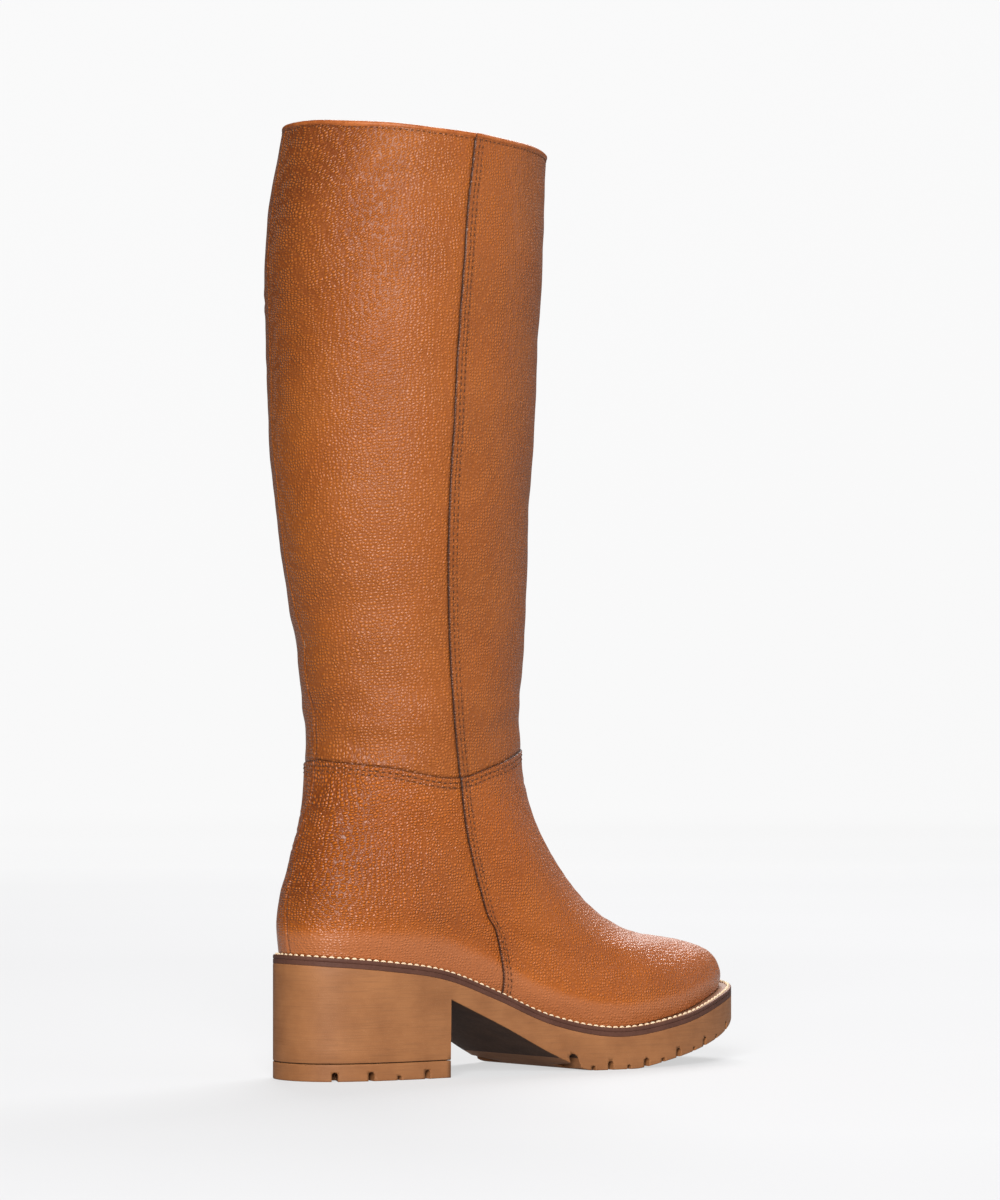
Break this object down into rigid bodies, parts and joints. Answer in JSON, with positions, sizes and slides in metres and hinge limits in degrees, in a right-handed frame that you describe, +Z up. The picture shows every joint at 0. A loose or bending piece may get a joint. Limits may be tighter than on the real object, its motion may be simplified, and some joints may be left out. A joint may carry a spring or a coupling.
{
  "type": "knee-high boot",
  "caption": "Right-foot knee-high leather boot with a block heel, stitched welt, lugged rubber sole and an inner-side zip.",
  "frame": {"origin": "on the floor under the middle of the heel, where the top lift rests", "axes": "+X to the toe, +Y to the wearer's left, which is the inner side of this right boot, +Z up the leg"},
  "size_m": [0.2685, 0.1193, 0.443],
  "materials": {
    "leather": "pebbled full-grain, waxed, satin",
    "rubber": "honey gum rubber, matt",
    "sole_edge": "dark brown waxed edge",
    "lining": "smooth unfinished lining leather",
    "elastic": "ribbed woven elastic",
    "zip_tape": "woven tape with a nylon coil",
    "zip_metal": "dark brown lacquered zinc, semi-gloss",
    "thread": "waxed cream sewing thread"
  },
  "bodies": {
    "boot": {"outsole": "rubber", "top_lift": "rubber", "midsole": "sole_edge", "welt": "sole_edge", "insole": "lining", "upper": "leather", "shaft": "leather", "gusset": "elastic", "zip": "zip_tape", "zip_slider": "zip_metal"},
    "pull_tab": {"zip_pull_tab": "zip_metal"}
  },
  "joints": [
    {"name": "pull_tab_hinge", "type": "hinge", "parent": "boot", "child": "pull_tab", "pos_m": [0.0282, 0.05828, 0.42779], "axis": [0.9849, 0.0951, -0.1448], "range_deg": [0, 165]}
  ]
}
